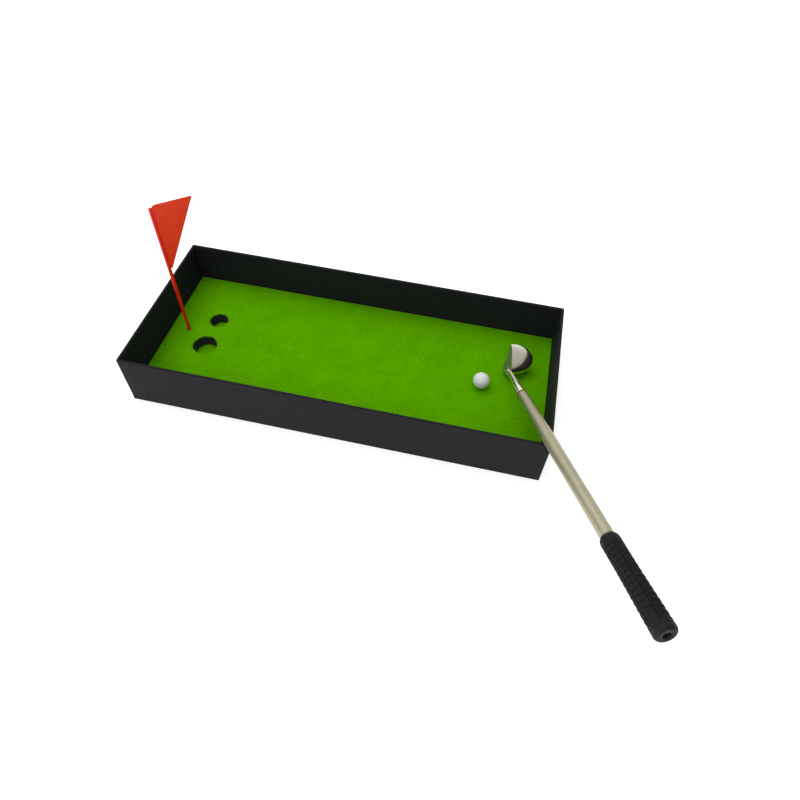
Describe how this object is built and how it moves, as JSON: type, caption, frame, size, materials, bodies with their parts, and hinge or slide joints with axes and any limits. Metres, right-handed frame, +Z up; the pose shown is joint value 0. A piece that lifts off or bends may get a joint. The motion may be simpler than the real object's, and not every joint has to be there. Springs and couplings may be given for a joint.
{
  "type": "desktop putting set",
  "caption": "Shallow paper-covered tray with a felt putting green and cups, a pull-out flag, a ball, and a twist ballpoint pen shaped like a golf club.",
  "frame": {"origin": "centre of the tray's underside", "axes": "+X along the tray's long side, from the cups towards the pen; +Y across the tray, away from the pen's grip; +Z up"},
  "size_m": [0.2097, 0.1521, 0.0733],
  "materials": {
    "black_paper": "linen-textured matt covering paper",
    "greyboard": "raw greyboard",
    "kraft_tape": "gummed kraft tape",
    "green_felt": "short-napped felt",
    "black_foam": "closed-cell foam",
    "red_plastic": "semi-gloss moulded plastic",
    "white_plastic": "smooth white plastic",
    "satin_nickel": "satin nickel plating on cast zinc",
    "red_ring": "gloss",
    "champagne_metal": "champagne anodised, satin",
    "white_nylon": "moulded nylon",
    "brass": "turned",
    "black_rubber": "soft ribbed rubber"
  },
  "bodies": {
    "tray": {"base_sheet": "black_paper", "floor_board": "greyboard", "foam_bed": "black_foam", "front_left_corner_stay": "kraft_tape", "front_right_corner_stay": "kraft_tape", "front_wall_board": "greyboard", "left_wall_board": "greyboard", "outer_wrap": "black_paper", "rear_left_corner_stay": "kraft_tape", "rear_right_corner_stay": "kraft_tape", "rear_wall_board": "greyboard", "right_wall_board": "greyboard", "top_felt": "green_felt", "under_felt": "green_felt"},
    "flag": {"flag_pole": "red_plastic", "flag_pennant": "red_plastic"},
    "ball": {"ball": "white_plastic"},
    "pen": {"club_head": "satin_nickel", "ferrule_ring": "red_ring", "shaft_tube": "champagne_metal", "cam_housing": "white_nylon"},
    "grip": {"rotor_tube": "brass", "grip_core": "brass", "rubber_grip": "black_rubber", "grip_end_cap": "black_rubber"},
    "refill": {"refill_carrier": "white_nylon", "refill_tube": "white_nylon", "refill_tip": "brass"}
  },
  "joints": [
    {"name": "flag_lift", "type": "slide", "parent": "tray", "child": "flag", "axis": [0.0087, 0, 1], "range_m": [0, 0.03]},
    {"name": "ball_putt", "type": "slide", "parent": "tray", "child": "ball", "axis": [-0.9987, -0.0505, 0], "range_m": [0, 0.1268]},
    {"name": "pen_lift", "type": "slide", "parent": "tray", "child": "pen", "axis": [0, 0, 1], "range_m": [0, 0.06]},
    {"name": "grip_twist", "type": "hinge", "parent": "pen", "child": "grip", "pos_m": [0.07595, -0.01001, 0.01805], "axis": [0.3574, -0.8783, 0.3175], "range_deg": [0, 180]},
    {"name": "refill_advance", "type": "slide", "parent": "grip", "child": "refill", "axis": [0.3574, -0.8783, 0.3175], "range_m": [0, 0.0051]}
  ],
  "couplings": [
    {"joint": "refill_advance", "follows": "grip_twist", "m_per_rad": 0.0015915}
  ]
}
